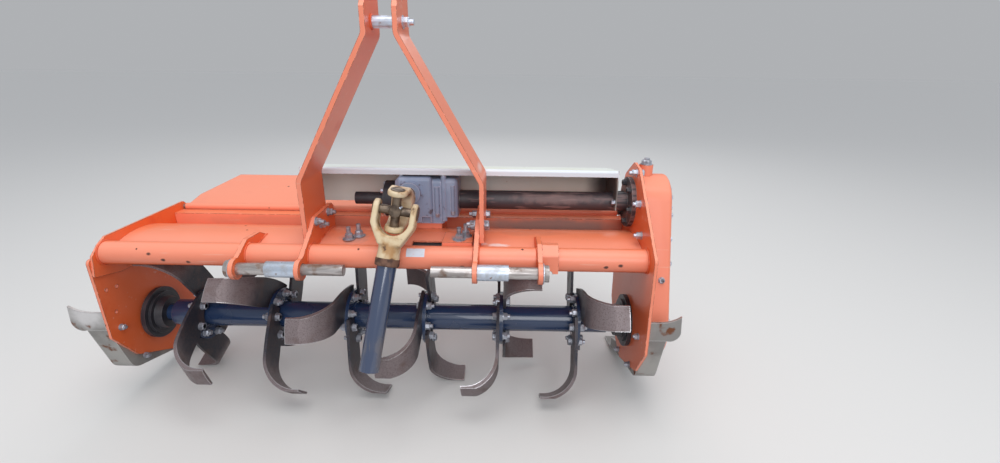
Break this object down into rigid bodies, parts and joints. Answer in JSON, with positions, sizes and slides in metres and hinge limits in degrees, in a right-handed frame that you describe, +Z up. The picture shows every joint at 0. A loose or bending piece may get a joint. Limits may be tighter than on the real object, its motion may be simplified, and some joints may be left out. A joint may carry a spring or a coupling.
{
  "type": "rotary tiller",
  "caption": "Rotary tiller for a tractor's linkage: bladed rotor under a sheet hood, chain case, gearbox with hanging drive half shaft, mast, skids and hinged rear flap.",
  "frame": {"origin": "on the ground under the middle of the whole machine", "axes": "+X along the rotor towards the chain case, -Y towards the tractor, +Z up"},
  "size_m": [1.5882, 0.7317, 1.11],
  "materials": {
    "orange_paint": "semi-gloss, faded and scuffed",
    "rotor_paint": "semi-gloss blue-black",
    "blade_steel": "worn dark steel",
    "black_cast": "matt black",
    "grey_paint": "satin blue-grey",
    "skid_steel": "worn grey",
    "white_paint": "satin white",
    "zinc": "zinc plated, lightly rusted",
    "yellow_cast": "yellow primer with rust",
    "shaft_steel": "greasy steel",
    "black_paint": "gloss black, worn"
  },
  "bodies": {
    "root": {"end_plate": "orange_paint", "side_plate_left": "orange_paint", "side_plate_right": "orange_paint", "front_tube": "orange_paint", "rear_beam": "orange_paint", "hood": "orange_paint", "chain_case": "orange_paint", "gearbox_saddle": "orange_paint", "lug_outer_left": "orange_paint", "lug_inner_left": "orange_paint", "lug_outer_right": "orange_paint", "lug_inner_right": "orange_paint", "mast_left": "orange_paint", "mast_right": "orange_paint", "stay_plate": "orange_paint", "deck_pad": "orange_paint", "bearing_left": "black_cast", "bearing_right": "black_cast", "cap_left": "black_cast", "cap_right": "black_cast", "drive_tube": "black_cast", "shaft_cover": "black_cast", "gearbox": "grey_paint", "input_seal": "grey_paint", "skid_left": "skid_steel", "skid_right": "skid_steel", "guard": "white_paint", "sleeve_left": "zinc", "sleeve_right": "zinc", "pin_left": "zinc", "pin_right": "zinc", "mast_spacer": "zinc", "hinge_rod": "zinc", "input_yoke": "yellow_cast", "input_shaft": "shaft_steel"},
    "rotor": {"rotor_tube": "rotor_paint", "blades_1": "blade_steel", "blades_2": "blade_steel", "blades_3": "blade_steel", "blades_4": "blade_steel", "blades_5": "blade_steel", "blades_6": "blade_steel"},
    "cross": {"cross": "shaft_steel"},
    "half_shaft": {"lower_yoke": "yellow_cast", "half_shaft": "black_paint"},
    "flap": {"rear_flap": "orange_paint"}
  },
  "joints": [
    {"name": "rotor_spin", "type": "hinge", "parent": "root", "child": "rotor", "pos_m": [0.0515, -0.06611, 0.225], "axis": [1, 0, 0], "continuous": true},
    {"name": "cross_swing", "type": "hinge", "parent": "root", "child": "cross", "pos_m": [0.0715, -0.20611, 0.595], "axis": [0.1564, 0, 0.9877], "range_deg": [-14, 14]},
    {"name": "shaft_lift", "type": "hinge", "parent": "cross", "child": "half_shaft", "pos_m": [0.0715, -0.20611, 0.595], "axis": [-0.9877, 0, 0.1564], "range_deg": [0, 75]},
    {"name": "flap_hinge", "type": "hinge", "parent": "root", "child": "flap", "pos_m": [0.0515, 0.13699, 0.493], "axis": [1, 0, 0], "range_deg": [-90, 0]}
  ]
}
